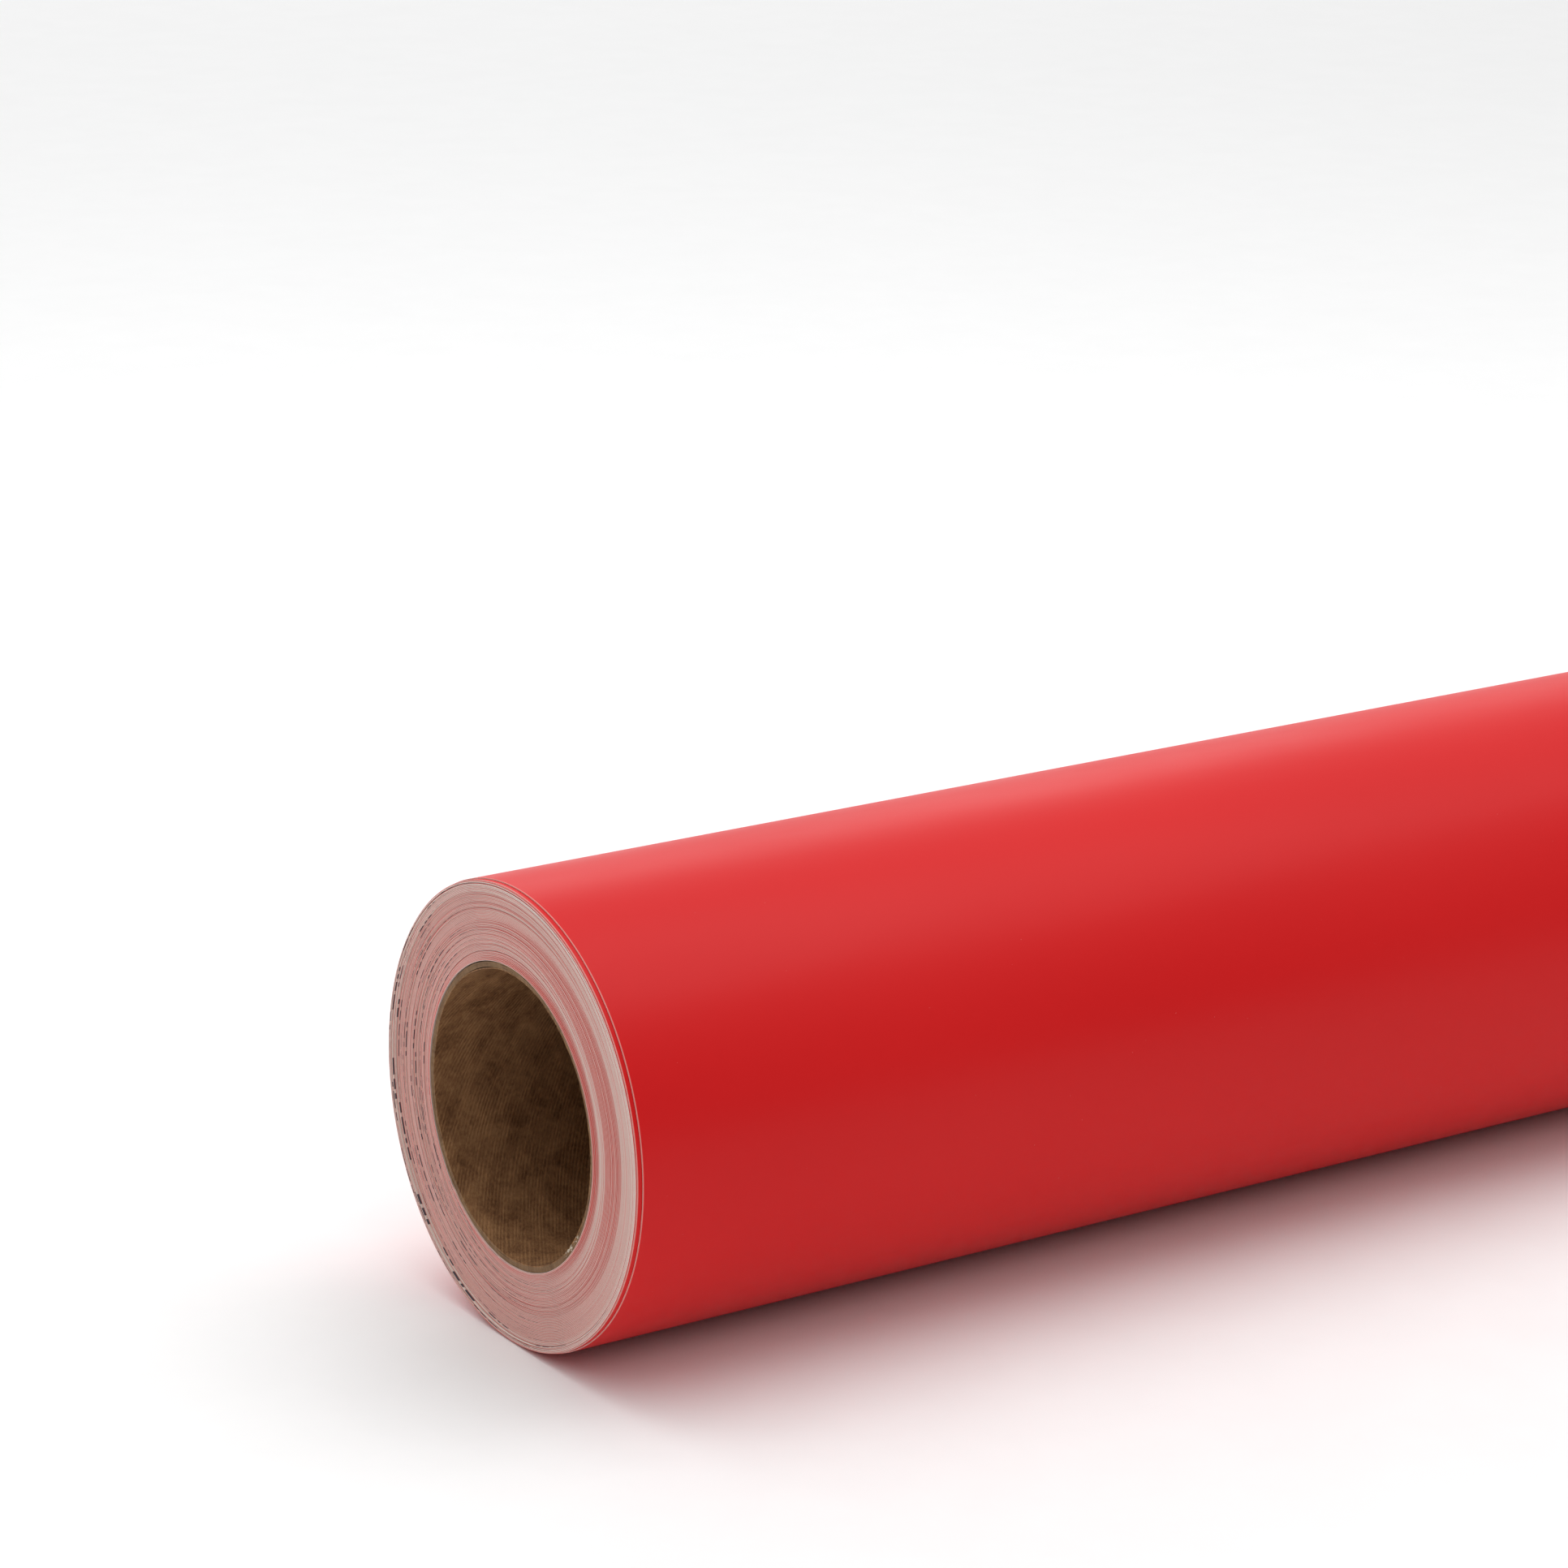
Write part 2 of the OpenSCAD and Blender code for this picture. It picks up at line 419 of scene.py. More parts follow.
def slit_edge_whitening_and_highlight(m):
    """Share of light colour along the film's slit edges, and 0 away from them: partly the knife's whitening,
    partly a painted highlight.
    """
    along, across, _ = m.parts(m.web_place())
    from_edge = m.math("MINIMUM", across, m.math("SUBTRACT", WEB_WIDTH, across))
    at_edge = m.ranged(from_edge, 0.1 * MM, 0.3 * MM, 1, 0)
    last_wraps = web_distance((WOUND_TURNS + 0.1) * TWO_PI)
    whitening_and_highlight = m.ranged(along, last_wraps - 1 * MM, last_wraps, PACK_WHITENING_AND_HIGHLIGHT, LAST_WHITENING_AND_HIGHLIGHT)
    return m.math("MULTIPLY", at_edge, whitening_and_highlight)


def adhesive_material():
    """Clear tacky layer, which takes the red of the film behind it."""
    m = Nodes("adhesive_layer", IOR=1.47)
    cloud = m.noise(m.web_place(), 160, detail=3)
    colour = m.mix(m.ranged(cloud, 0.3, 0.7), rgb(196, 70, 58), rgb(204, 84, 70))
    roughness = m.ranged(m.noise(m.web_place(), 420), 0.3, 0.7, 0.16, 0.3)
    return m.finish(colour, roughness, m.bump(m.noise(m.web_place(), 1100), 0.01 * MM, 0.3))


# Rows of generic dashes on the liner's back: row spacing, repeat along the web, dash height, and the part of
# the repeat by which each row is shifted against the one before
PRINT_ROW, PRINT_REPEAT, PRINT_HEIGHT, PRINT_SHIFT = 19 * MM, 62 * MM, 2.6 * MM, 0.37
# Middle and half width of each dash, as parts of the repeat
DASHES = [(0.05, 0.028), (0.12, 0.02), (0.2, 0.04), (0.29, 0.018), (0.36, 0.03)]
# Turns over which the painted pink on the liner fades out: a painted reflection of red light from the film
# beside the liner's edge
RED_BOUNCE_TURNS = (59, 64)


def liner_material():
    """Coated white paper with fine fibre mottle and grey dashes printed on its back."""
    m = Nodes("liner_paper", IOR=1.45)
    fibre = m.noise(m.web_place(1, 1.6), 420, detail=5, roughness=0.65)
    cloud = m.noise(m.web_place(), 60, detail=3)
    colour = m.mix(m.ranged(fibre, 0.3, 0.7), rgb(224, 214, 203), rgb(236, 228, 218))
    colour = m.mix(m.math("MULTIPLY", m.ranged(cloud, 0.35, 0.7), 0.25), colour, rgb(212, 202, 192))
    fade_start, fade_end = (web_distance(turn * TWO_PI) for turn in RED_BOUNCE_TURNS)
    along = m.parts(m.web_place())[0]
    # Painted red bounce light: the inner turns' liner is tinted pink for light reflected off the red film
    # beside it
    painted_red_bounce = m.ranged(along, fade_start, fade_end, 1, 0)
    colour = m.mix(m.math("MULTIPLY", painted_red_bounce, 0.7), colour, rgb(212, 178, 167))
    colour = m.mix(liner_print(m), colour, rgb(118, 112, 112))
    roughness = m.ranged(cloud, 0.3, 0.7, 0.5, 0.6)
    return m.finish(colour, roughness, m.bump(fibre, 0.01 * MM, 0.3))


def liner_print(m):
    """Where the ink is: five dashes, repeated along the web in rows that are shifted against each other."""
    along_web, across_web, _ = m.parts(m.web_place())
    row = m.math("DIVIDE", across_web, PRINT_ROW)
    shift = m.math("MULTIPLY", m.math("FLOOR", row), PRINT_SHIFT)
    along = m.math("FRACT", m.math("ADD", m.math("DIVIDE", along_web, PRINT_REPEAT), shift))
    in_row = m.math("COMPARE", m.math("FRACT", row), 0.5, PRINT_HEIGHT / PRINT_ROW / 2)
    ink = 0.0
    for middle, half_width in DASHES:
        ink = m.math("MAXIMUM", m.math("COMPARE", along, middle, half_width), ink)
    grain = m.ranged(m.noise(m.web_place(), 1500, detail=2), 0.25, 0.5, 0.55, 0.95)
    back = m.add("ShaderNodeAttribute", attribute_name="back").outputs["Fac"]
    on_back = m.math("GREATER_THAN", back, 0.5)
    return m.math("MULTIPLY", m.math("MULTIPLY", ink, in_row), m.math("MULTIPLY", grain, on_back))


def ink_material():
    """Grey print on the liner's back, a little worn."""
    m = Nodes("liner_print_ink", IOR=1.45)
    grain = m.noise(m.object_place(), 2500, detail=2)
    return m.finish(m.mix(grain, rgb(66, 61, 68), rgb(104, 97, 101)), m.ranged(grain, 0.3, 0.7, 0.5, 0.7))


# Advance of the innermost ply's seam in one turn round the core, and spacing of the ridges along its grain
SEAM_PITCH = 138 * MM
RIDGE_SPACING = 0.95 * MM


def paperboard_material(name, dark, light, ridge_strength):
    """Kraft paperboard: blotches, specks of fibre, and ridges that follow the winding of the plies."""
    m = Nodes(name, IOR=1.4, Specular_IOR_Level=0.3)
    place = m.object_place()
    unrolled = unrolled_core_place(m, place)
    blotch = m.noise(place, 130, detail=6, roughness=0.68, distortion=0.5)
    fibre = m.noise(m.scaled(unrolled, (1, 0.35, 1)), 2300, detail=3, roughness=0.7)
    ridge = ridges(m, unrolled)
    tone = m.math("ADD", m.ranged(blotch, 0.25, 0.78, 0, 0.5), m.ranged(fibre, 0.35, 0.75, 0, 0.28))
    tone = m.math("ADD", tone, m.math("MULTIPLY", ridge, 0.26 * ridge_strength))
    colour = m.mix(tone, dark, light)
    smudge = m.ranged(m.noise(m.scaled(place, (1, 1, 2.5)), 110, detail=3, distortion=1), 0.72, 0.76)
    colour = m.mix(m.math("MULTIPLY", smudge, 0.6 * ridge_strength), colour, rgb(38, 22, 12))
    height = m.math("ADD", m.math("MULTIPLY", ridge, ridge_strength), m.math("MULTIPLY", fibre, 0.35))
    normal = m.bump(height, 0.1 * MM, 0.6)
    return m.finish(colour, m.ranged(blotch, 0.3, 0.7, 0.62, 0.85), normal)


def ridges(m, unrolled):
    """Fine ridges along the ply's grain, unevenly strong and slightly wavy."""
    sway = m.noise(m.scaled(unrolled, (1, 0.12, 1)), 260, detail=3)
    across = m.parts(unrolled)[0]
    phase = m.math("ADD", m.math("DIVIDE", across, RIDGE_SPACING), m.math("MULTIPLY", sway, 1.6))
    wave = m.math("MULTIPLY_ADD", m.math("SINE", m.math("MULTIPLY", phase, TWO_PI)), 0.5, 0.5)
    strength = m.ranged(m.noise(m.scaled(unrolled, (1, 0.25, 1)), 320, detail=3), 0.35, 0.65, 0.15, 1)
    return m.math("MULTIPLY", wave, strength)


def unrolled_core_place(m, place):
    """The bore's surface laid flat: first number across the ply's grain, second along it."""
    along_core, y, z = m.parts(place)
    around = m.math("MULTIPLY", m.math("ARCTAN2", z, y), BORE_R)
    lean = math.atan2(SEAM_PITCH, TWO_PI * BORE_R)
    c, s = math.cos(lean), math.sin(lean)
    across = m.math("SUBTRACT", m.math("MULTIPLY", along_core, c), m.math("MULTIPLY", around, s))
    along = m.math("ADD", m.math("MULTIPLY", along_core, s), m.math("MULTIPLY", around, c))
    joined = m.add("ShaderNodeCombineXYZ")
    m.feed(joined.inputs[0], across)
    m.feed(joined.inputs[1], along)
    return joined.outputs[0]


def tape_material():
    """Creped paper tape: cream, with fine cross wrinkles."""
    m = Nodes("creped_paper_tape", IOR=1.45)
    crepe = m.noise(m.web_place(1, 0.15), 1700, detail=3, roughness=0.6)
    cloud = m.noise(m.web_place(), 220, detail=3)
    colour = m.mix(m.ranged(crepe, 0.3, 0.7), rgb(205, 182, 132), rgb(226, 206, 160))
    colour = m.mix(m.math("MULTIPLY", m.ranged(cloud, 0.4, 0.7), 0.3), colour, rgb(196, 168, 118))
    return m.finish(colour, m.ranged(crepe, 0.3, 0.7, 0.5, 0.7), m.bump(crepe, 0.06 * MM, 0.6))


def floor_material():
    """Plain pale studio floor."""
    m = Nodes("studio_floor", IOR=1.3)
    grain = m.noise(m.object_place(), 40, detail=3)
    return m.finish(m.mix(grain, rgb(246, 246, 246), rgb(250, 250, 250)), m.ranged(grain, 0.2, 0.8, 0.7, 0.8))


# ---------------------------------------------------------------- core
def core_rows():
    """Places along the core: close together near both ends, where the bore is seen, and wider inside."""
    fine, coarse, fine_length = 1.2 * MM, 4 * MM, 60 * MM
    length = CORE_FAR - CORE_NEAR
    inner = np.arange(fine_length, length - fine_length, coarse)
    ends = np.arange(fine, fine_length, fine)
    return CORE_NEAR + np.concatenate([[0], ends, inner, length - ends[::-1], [length]])


# Where the innermost ply's seam crosses +Y, from the core's near end
SEAM_X = 90 * MM
SEAM_WIDTH = 0.7 * MM
SEAM_DEPTH = 0.25 * MM
SEAM_HALF_ANGLE = SEAM_WIDTH / BORE_R / 2
CORE_COLUMNS = 240
# Rough burr on the plies' cut ends, and the length over which the bore's edge is frayed
BURR = 0.07 * MM
FRAY_LENGTH = 1.3 * MM
# Where the innermost ply has come away from the next one at the near end
SPLIT_ANGLE, SPLIT_SPAN = math.radians(68), math.radians(13)
SPLIT_DEPTH, SPLIT_LIFT = 5 * MM, 0.22 * MM


def seam_columns(count):
    """Angles round the core, with extra ones at the two sides of the seam at angle zero."""
    edges = np.array([-1.15, -1.0, -0.8, 0.8, 1.0, 1.15]) * SEAM_HALF_ANGLE
    clear = 1.6 * SEAM_HALF_ANGLE
    rest = np.linspace(clear, TWO_PI - clear, count - len(edges))
    return np.concatenate([edges, rest])


def worn_bore(x, angle, lead, to_end):
    """How much lower the bore's surface lies at its seam, its wear and its frayed edges."""
    seam = SEAM_DEPTH * (np.abs(lead) < 0.9 * SEAM_HALF_ANGLE)
    place = np.stack([x, BORE_R * np.cos(angle), BORE_R * np.sin(angle)], -1)
    wear = 0.03 * MM * np.abs(wave_noise(place, 0.03, 8))
    frayed = np.clip(1 - to_end / FRAY_LENGTH, 0, 1) * (1 + ring_noise(angle, 77, 5, 70, 0.5))
    return seam + wear + 0.06 * MM * frayed


def split_lift(x, angle):
    """How far the innermost ply has lifted off the next one."""
    from_split = (angle - SPLIT_ANGLE + math.pi) % TWO_PI - math.pi
    along = np.clip(1 - (x - CORE_NEAR) / SPLIT_DEPTH, 0, 1)
    return SPLIT_LIFT * np.exp(-((from_split / SPLIT_SPAN) ** 2)) * along


def core_ply(i, name, material):
    """One ply as a tube. The innermost has a helical butt seam, a worn bore and a frayed cut edge."""
    innermost = i == 0
    rows, around = core_rows(), seam_columns(CORE_COLUMNS)
    x = np.repeat(rows, len(around))
    lead = np.tile(around, len(rows))
    angle = lead + (x - CORE_NEAR - SEAM_X) / SEAM_PITCH * TWO_PI
    to_end = np.minimum(x - CORE_NEAR, CORE_FAR - x)
    at_end = to_end < 0.01 * MM
    x = x + BURR * ring_noise(angle, 31 + i, 3, 60, 0.5) * at_end * np.sign(-x)
    inner = np.full_like(x, BORE_R + i * PLY_T)
    outer = inner + PLY_T
    if innermost:
        lift = split_lift(x, angle)
        inner += worn_bore(x, angle, lead, to_end) - lift
        outer -= lift
    inner_points = np.stack([x, inner * np.cos(angle), inner * np.sin(angle)], -1)
    outer_points = np.stack([x, outer * np.cos(angle), outer * np.sin(angle)], -1)
    order = np.arange(len(x)).reshape(len(rows), len(around)).T.ravel()
    vertices, faces = slab(outer_points[order], inner_points[order], len(around), len(rows), closed=True)
    piece = make_object(name, vertices, [f[::-1] for f in faces], material, smooth_angle=40)
    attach(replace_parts(piece, name), "roll")


def hair(points, radius, sides=4):
    """Vertices and faces of a thin closed tube along a few points, tapering to its end."""
    points = np.asarray(points, float)
    vertices, faces = [], []
    for n, point in enumerate(points):
        ahead = points[min(n + 1, len(points) - 1)] - points[max(n - 1, 0)]
        ahead /= np.linalg.norm(ahead)
        side = np.cross(ahead, [0.3, 0.5, 0.8])
        side /= np.linalg.norm(side)
        up = np.cross(ahead, side)
        r = radius * (1 - 0.7 * n / (len(points) - 1))
        for a in np.arange(sides) * TWO_PI / sides:
            vertices.append(point + r * (math.cos(a) * side + math.sin(a) * up))
    for n in range(len(points) - 1):
        for a in range(sides):
            b = (a + 1) % sides
            faces.append((n * sides + a, n * sides + b, (n + 1) * sides + b, (n + 1) * sides + a))
    faces.append(tuple(range(sides))[::-1])
    faces.append(tuple((len(points) - 1) * sides + a for a in range(sides)))
    return vertices, faces


def join_parts(parts):
    """Vertices and faces of several meshes as one."""
    vertices, faces = [], []
    for some_vertices, some_faces in parts:
        first = len(vertices)
        vertices += list(some_vertices)
        faces += [tuple(first + n for n in face) for face in some_faces]
    return vertices, faces


FIBRES_PER_END, FIBRE_POINTS = 70, 5


def fibre(own, end, away):
    """One loose fibre that starts on the core's end face, leans sideways and curls over the bore."""
    angle, lean = own.uniform(0, TWO_PI), own.normal(0, 0.5)
    length = own.uniform(0.4, 1.9) * MM
    r = BORE_R + own.uniform(0.02, 0.25) * MM
    points = []
    for t in np.linspace(0, 1, FIBRE_POINTS):
        bend = angle + (lean * t + 0.4 * lean * t * t) * length / BORE_R * 2
        radial = r - 0.45 * length * t * own.uniform(0.7, 1.2)
        x = end + away * (0.02 * MM + 0.28 * length * t * (1 - 0.6 * t))
        points.append((x, radial * math.cos(bend), radial * math.sin(bend)))
    return hair(points, own.uniform(0.012, 0.028) * MM)


def core_fibres(material):
    """Loose paper fibres on the bore's cut edges, at both ends."""
    own = np.random.default_rng(5)
    ends = ((CORE_NEAR, -1), (CORE_FAR, 1))
    vertices, faces = join_parts([fibre(own, *end) for end in ends for _ in range(FIBRES_PER_END)])
    piece = make_object("core_end_fibres", vertices, faces, material, smooth_angle=60)
    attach(piece, "roll")


CHIPS, CHIP_CORNERS, CHIP_T = 16, 6, 0.05 * MM
TORN_ANGLE, TORN_SPREAD = -139, 4.5  # degrees from +Y towards +Z


def chip(own):
    """One flat scrap of torn paper, lifted and tilted off the core's near end."""
    angle = math.radians(own.normal(TORN_ANGLE, TORN_SPREAD))
    r = BORE_R + own.uniform(0.1, 0.7) * (CORE_R - BORE_R)
    size = own.uniform(0.2, 0.5) * MM
    corners = []
    for a in np.sort(own.uniform(0, TWO_PI, CHIP_CORNERS)):
        reach = size * own.uniform(0.5, 1.0)
        corners.append((reach * math.cos(a), 1.5 * reach * math.sin(a)))
    lift, tilt = own.uniform(0.03, 0.18) * MM, own.normal(0, 0.35)
    top, under = [], []
    for out, round_way in corners:
        x = CORE_NEAR - lift - 0.03 * MM + tilt * out
        radial = min(max(r + out, BORE_R - 0.1 * MM), CORE_R - 0.05 * MM)
        a = angle + round_way / BORE_R
        top.append((x, radial * math.cos(a), radial * math.sin(a)))
        under.append((x + CHIP_T, radial * math.cos(a), radial * math.sin(a)))
    n = CHIP_CORNERS
    faces = [tuple(range(n))[::-1], tuple(range(n, 2 * n))]
    faces += [(i, (i + 1) % n, n + (i + 1) % n, n + i) for i in range(n)]
    return top + under, faces


def core_chips(material):
    """A patch of torn, lifted paper on the near cut end, low at the front."""
    own = np.random.default_rng(12)
    vertices, faces = join_parts([chip(own) for _ in range(CHIPS)])
    piece = make_object("core_torn_paper", vertices, faces, material, smooth_angle=50)
    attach(piece, "roll")


def build_core():
    """Plies, fibres and torn paper of the core, and the starter tape's material."""
    kraft = paperboard_material("kraft_bore", rgb(84, 49, 24), rgb(196, 148, 102), 1.0)
    fresh_cut = paperboard_material("paperboard_edge", rgb(112, 82, 56), rgb(168, 136, 102), 0.3)
    pale = paperboard_material("torn_paper", rgb(196, 180, 158), rgb(226, 214, 196), 0.2)
    for i, name in enumerate(PLIES):
        core_ply(i, name, kraft if i == 0 else fresh_cut)
    core_fibres(fresh_cut)
    core_chips(pale)
    starter_materials = frame["nodes"]["starter_tape"].data.materials
    starter_materials.clear()
    starter_materials.append(pale)


# ---------------------------------------------------------------- wound web
# Print along the liner's edges: repeat of the dash groups, part of it between the two rows, gap between
# dashes, how far the ink reaches in from the edge, where the first group starts, and lengths of the dashes
EDGE_REPEAT, EDGE_ROW_SHIFT, EDGE_GAP = 64 * MM, 0.43, 1.1 * MM
EDGE_DEPTH, FIRST_EDGE_PRINT = 1.0 * MM, 270 * MM
EDGE_LENGTHS = [3.4 * MM, 1.3 * MM, 2.2 * MM, 4.6 * MM, 1.5 * MM, 2.8 * MM]
# The ink's two faces: clear of the liner's flat facets, and within the air that stays above the wrap below
INK_HEIGHTS = (-0.006 * MM, -0.01 * MM)
DASH_STEPS = 3


def dash_places():
    """Where along the web each dash of ink starts, and how long it is, in two rows of short groups."""
    own = np.random.default_rng(3)
    total = web_distance((TURNS - 1) * TWO_PI)
    places = []
    group = FIRST_EDGE_PRINT
    while group < total:
        for row in (0, 1):
            at = group + row * EDGE_ROW_SHIFT * EDGE_REPEAT + own.normal(0, 1.5 * MM)
            for length in own.permutation(EDGE_LENGTHS)[: own.integers(2, 5)]:
                places.append((at, length))
                at += length + EDGE_GAP
        group += EDGE_REPEAT
    return np.array(places).T


def dash_corners(start, length, side):
    """Corner points of all dashes at the web's near (0) or far (1) edge: dash, step x height x depth, xyz."""
    inward = 1 - 2 * side
    points = []
    for i in range(DASH_STEPS + 1):
        distance = start + length * i / DASH_STEPS
        winding = (np.sqrt(FIRST_R ** 2 + PITCH * distance / math.pi) - FIRST_R) * TWO_PI / PITCH
        edge = PACK_NEAR + edge_setback(winding) + side * WEB_WIDTH
        for height in INK_HEIGHTS:
            for x in (edge + inward * 0.01 * MM, edge + inward * EDGE_DEPTH):
                points.append(web_point(winding, np.full_like(x, height), x))
    return np.stack(points, 1)


def print_dashes(material):
    """Ink of the liner's back print at both edges of the wound web, as thin raised dashes."""
    start, length = dash_places()
    parts = []
    last = 4 * DASH_STEPS
    faces = [(0, 2, 3, 1), (last, last + 1, last + 3, last + 2)]
    for a in range(0, last, 4):
        b = a + 4
        faces += [(a, a + 1, b + 1, b), (a + 2, b + 2, b + 3, a + 3)]
        faces += [(a, b, b + 2, a + 2), (a + 1, a + 3, b + 3, b + 1)]
    for side in (0, 1):
        parts += [(corners, faces) for corners in dash_corners(start, length, side)]
    vertices, faces = join_parts(parts)
    piece = make_object("liner_edge_print", vertices, faces, material, smooth_angle=40)
    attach(piece, "roll")


SEGMENTS = 240  # per turn


def build_wound_web(materials):
    """The wound pack and the second-last wrap, layer by layer."""
    pack_end = WOUND_TURNS * TWO_PI
    stretches = [
        ("wound", 0, pack_end, WOUND_TURNS * SEGMENTS),
        ("second_wrap", pack_end, pack_end + TWO_PI, 2 * SEGMENTS),
    ]
    for layer, material in materials.items():
        for name, start, end, steps in stretches:
            piece = web_piece(f"{name}_{layer}_sheet", layer, start, end, steps, material)
            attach(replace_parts(piece, f"{name}_{layer}"), "roll")


# ---------------------------------------------------------------- last wrap and loose tail
TAIL_ANGLE = LEAVES * LEAF + TAIL_END
FINE_STEP = math.radians(1)
FILM_COLUMNS = 40
RIPPLE = 0.012 * MM


def tail_piece(name, layer, above, below, material):
    """A stretch of the last wrap, from one angle above the web's end down to another."""
    steps = max(4, round((above - below) / FINE_STEP))
    return web_piece(name, layer, web_angle(above), web_angle(below), steps, material, FILM_COLUMNS, RIPPLE)


def build_last_wrap(materials):
    """The last wrap: a part fixed to the roll, a strip bent across each hinge, and the web's end."""
    chain = ["roll"] + [f"tail_{i}" for i in range(1, LEAVES + 1)] + ["tail_end"]
    for layer, material in materials.items():
        fixed_end = TAIL_ANGLE + LEAF / 2
        fixed = tail_piece(f"last_wrap_{layer}_sheet", layer, TWO_PI, fixed_end, material)
        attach(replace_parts(fixed, f"outer_wrap_{layer}"), "roll")
        for i, (parent, child) in enumerate(zip(chain, chain[1:])):
            hinge = TAIL_ANGLE - i * LEAF
            above, below = hinge + LEAF / 2, hinge - LEAF / 2
            piece = tail_piece(f"{child}_{layer}_sheet", layer, above, below, material)
            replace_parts(piece, f"{child}_{layer}")
            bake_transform(piece)
        last = tail_piece(f"tail_edge_{layer}_sheet", layer, TAIL_END - LEAF / 2, 0.0, material)
        if layer == LINER:
            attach(last, "tail_end")
        else:
            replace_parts(last, f"peel_{layer}")
            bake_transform(last)


TAB_ROWS, TAB_COLUMNS = 84, 26
TEAR = math.radians(0.25)  # unevenness of a torn end
CREPE_HEIGHT, CREPE_SPACING, CREPE_STRETCH = 0.012 * MM, 1.1 * MM, 0.12
CREPE_RUN = 1.6 * BORE_R  # length of tape in one radian


def tape_radius(beta, x):
    """Distance from the roll's axis of the face under the tape: on the tail, then on the wrap below."""
    web_end = web_angle(0)
    on_tail = web_point(web_end - np.maximum(beta, 0), np.full_like(x, WEB_T), x)
    on_wrap = web_point(web_end - TWO_PI - beta, np.full_like(x, WEB_T + TAB_CLEARANCE), x)
    upper, lower = (np.hypot(points[:, 1], points[:, 2]) for points in (on_tail, on_wrap))
    on_film = smooth_step(beta, -TAB_STEP, 0)
    return lower * (1 - on_film) + upper * on_film


def tape_face(beta, x, radius):
    """Points at an angle beta above the web's end."""
    angle = TIP_ANGLE + beta
    return np.stack([x, radius * np.cos(angle), radius * np.sin(angle)], -1)


def tape_tab(name, material):
    """A tab of paper tape: stuck on the tail's film, down its edge and on the wrap below, with torn ends."""
    low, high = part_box(name)
    own = np.random.default_rng(len(name))
    tear_high, tear_low = (own.normal(0, TEAR, TAB_COLUMNS) for _ in range(2))
    t = np.repeat(np.linspace(0, 1, TAB_ROWS), TAB_COLUMNS)
    x = np.tile(np.linspace(low.x, high.x, TAB_COLUMNS), TAB_ROWS)
    top = TAB_ON_TAIL + np.tile(tear_high, TAB_ROWS)
    bottom = -TAB_ON_ROLL + np.tile(tear_low, TAB_ROWS)
    beta = top * (1 - t) + bottom * t
    place = np.stack([beta * CREPE_RUN, CREPE_STRETCH * x], -1)
    wrinkles = wave_noise(place, CREPE_SPACING, 17, octaves=2)
    radius = tape_radius(beta, x)
    outer = tape_face(beta, x, radius + TAB_T + CREPE_HEIGHT * wrinkles)
    inner = tape_face(beta, x, radius)
    vertices, faces = slab(outer, inner, TAB_ROWS, TAB_COLUMNS)
    uv = np.tile(np.stack([beta * ROLL_R, x], -1), (2, 1))
    piece = make_object(name + "_strip", vertices, [f[::-1] for f in faces], material, uv=uv)
    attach(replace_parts(piece, name), "film_end")


# ---------------------------------------------------------------- stage
CAMERA_PLACE = Vector((-0.9583, -1.0908, 0.4830))
CAMERA_AIM = Vector((-0.2235, 0.0, 0.0748))
CAMERA_ROLL = math.radians(0.86)
CAMERA_LENS, CAMERA_SENSOR = 123.6, 36  # both in millimetres
CAMERA_CLIP = (0.05, 60)
FLOOR_HALF, FLOOR_T = 24.0, 0.02
# Name, place, point that it aims at, size and power in watts
LIGHTS = [
    ("top_softbox", (0.1, 0.12, 1.4), (0, 0, 0), (2.4, 0.9), 13.0),
    ("front_fill", (-0.9, -2.0, 1.5), (0, 0, 0), (1.2, 1.2), 4.5),
    ("backdrop_light", (1.3, 3.2, 1.6), (1.1, 2.3, 0), (3.0, 1.2), 14),
]
# Direction of the brightest sky, the range of its cosine over which the sky changes, and the two strengths
SKY_DIRECTION = (0.25, 0.45, 0.86)
SKY_RANGE = (-0.35, 0.75)
SKY_STRENGTH = (0.12, 0.85)


def aimed(place, aim):
    """Matrix that puts a camera or a light at a place, looking at a point, with its top upwards."""
    turn = (Vector(aim) - Vector(place)).to_track_quat("-Z", "Y").to_matrix().to_4x4()
    return Matrix.Translation(place) @ turn


def build_camera():
    """The camera, low and to the left of the roll, with a long lens."""
    data = bpy.data.cameras.new("camera")
    data.lens, data.sensor_width = CAMERA_LENS, CAMERA_SENSOR
    data.clip_start, data.clip_end = CAMERA_CLIP
    camera = bpy.data.objects.new("camera", data)
    bpy.context.scene.collection.objects.link(camera)
    camera.matrix_world = aimed(CAMERA_PLACE, CAMERA_AIM) @ Matrix.Rotation(CAMERA_ROLL, 4, "Z")
    bpy.context.scene.camera = camera


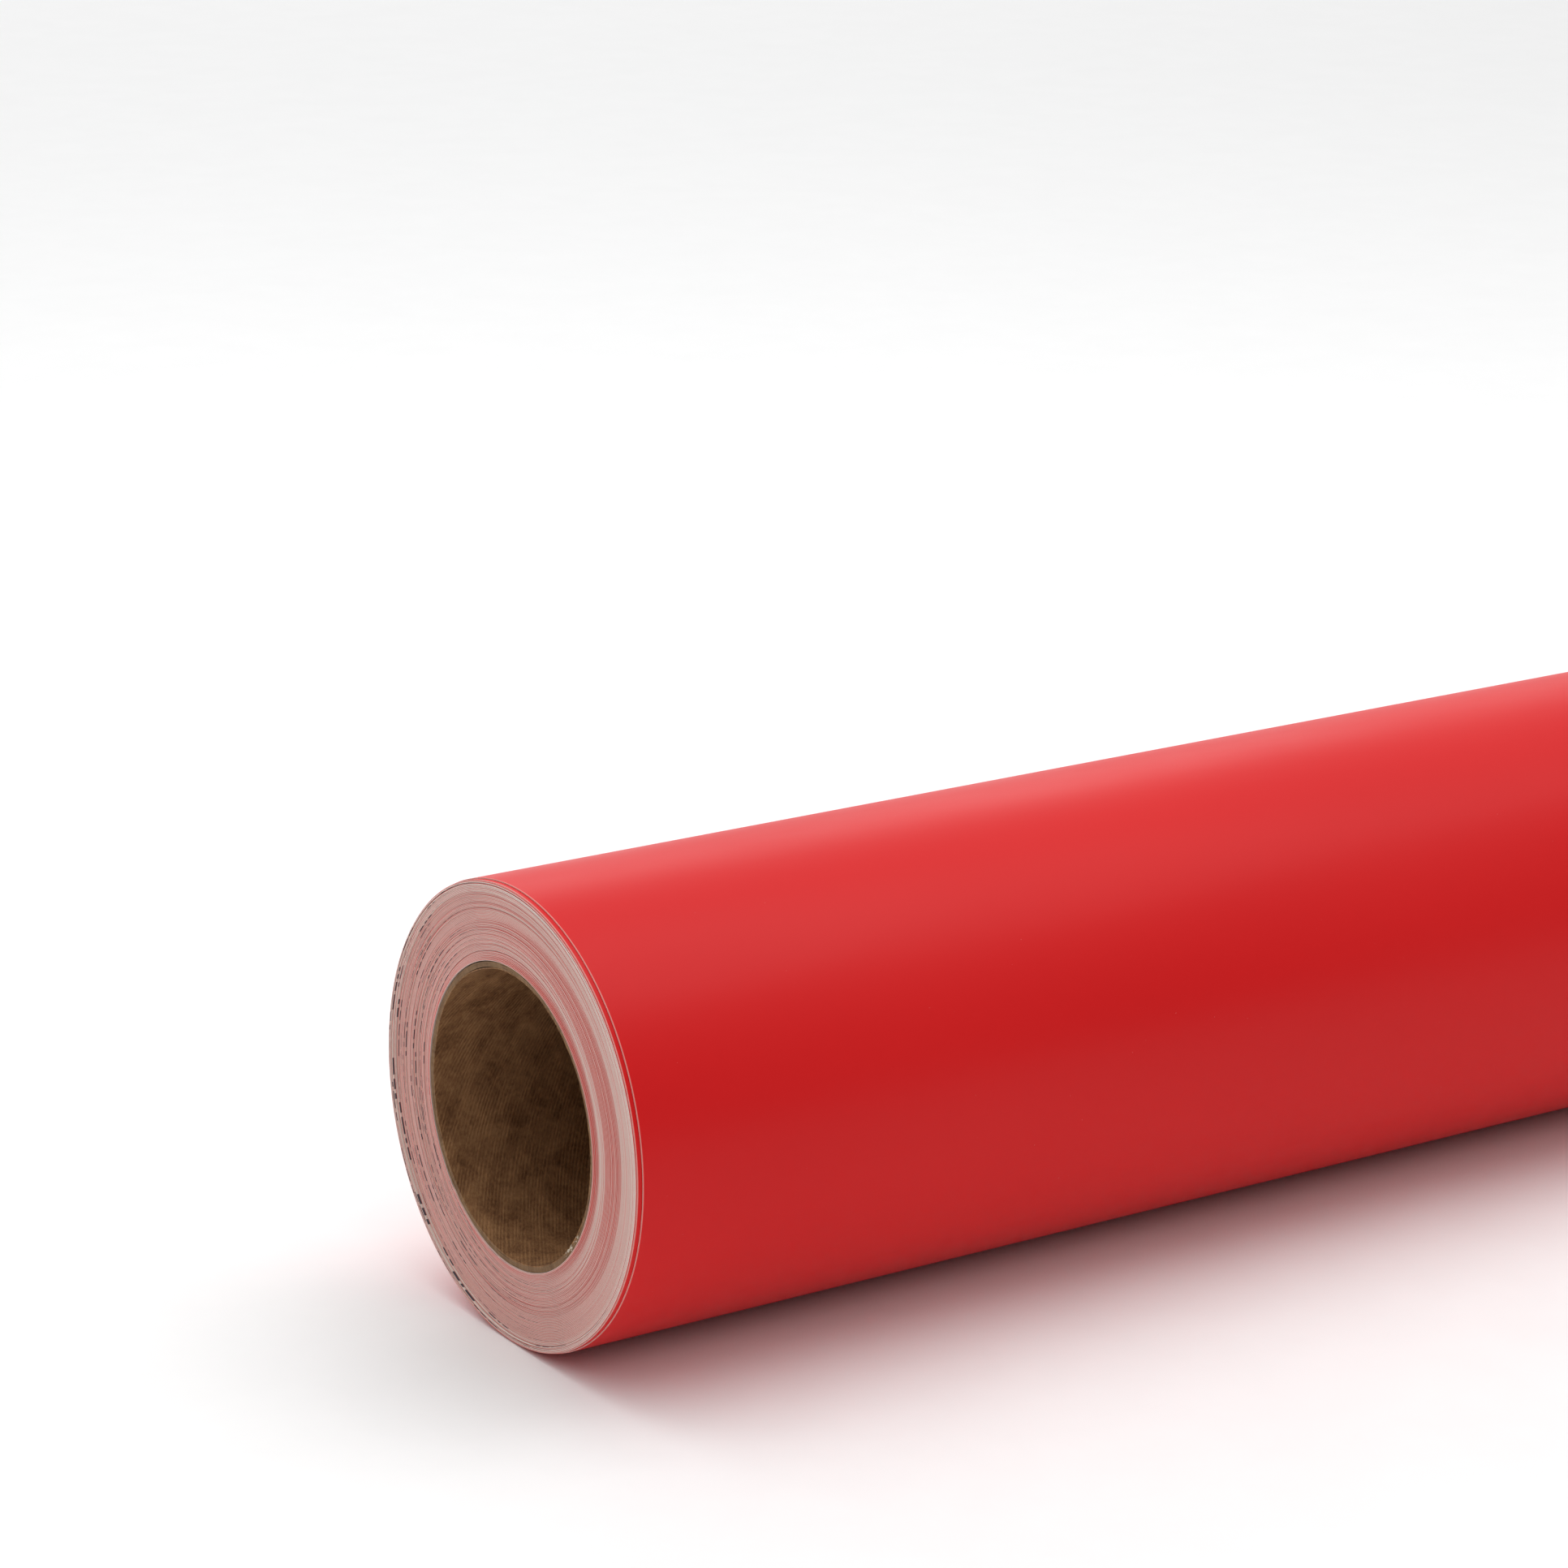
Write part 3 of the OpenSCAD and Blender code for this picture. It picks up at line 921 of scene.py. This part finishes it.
def soft_light(name, place, aim, size, power):
    """A rectangular area light."""
    data = bpy.data.lights.new(name, "AREA")
    data.shape, data.size, data.size_y = "RECTANGLE", size[0], size[1]
    data.energy = power
    light = bpy.data.objects.new(name, data)
    light.matrix_world = aimed(place, aim)
    bpy.context.scene.collection.objects.link(light)


def build_stage():
    """Pale floor under the roll, soft lights and a pale sky."""
    half = FLOOR_HALF
    square = [(-half, -half), (half, -half), (half, half), (-half, half)]
    corners = [(x, y, z) for z in (FLOOR_Z, FLOOR_Z - FLOOR_T) for x, y in square]
    faces = [(0, 1, 2, 3), (7, 6, 5, 4)] + [(i, 4 + i, 4 + (i + 1) % 4, (i + 1) % 4) for i in range(4)]
    make_object("studio_floor", corners, faces, floor_material())
    for light in LIGHTS:
        soft_light(*light)
    bpy.context.scene.world = studio_world()
    bpy.context.scene.view_settings.view_transform = "Standard"


def studio_world():
    """Pale all round, brightest overhead, and dim towards the horizon on the camera's side."""
    world = bpy.data.worlds.new("studio")
    world.use_nodes = True
    tree = world.node_tree
    direction = tree.nodes.new("ShaderNodeTexCoord").outputs["Generated"]
    facing = tree.nodes.new("ShaderNodeVectorMath")
    facing.operation = "DOT_PRODUCT"
    facing.inputs[1].default_value = SKY_DIRECTION
    tree.links.new(direction, facing.inputs[0])
    ramp = tree.nodes.new("ShaderNodeMapRange")
    ramp.interpolation_type = "SMOOTHSTEP"
    for socket, value in zip(ramp.inputs[1:5], SKY_RANGE + SKY_STRENGTH):
        socket.default_value = value
    tree.links.new(facing.outputs["Value"], ramp.inputs[0])
    tree.links.new(ramp.outputs[0], tree.nodes["Background"].inputs["Strength"])
    tree.nodes["Background"].inputs["Color"].default_value = (1, 1, 1, 1)
    return world


# ---------------------------------------------------------------- the scene
build_camera()
build_stage()
web_materials = {LINER: liner_material(), ADHESIVE: adhesive_material(), RED_FILM: film_material()}
build_core()
build_wound_web(web_materials)
print_dashes(ink_material())
build_last_wrap(web_materials)
tape = tape_material()
for tab in ("tail_tape_near", "tail_tape_far"):
    tape_tab(tab, tape)
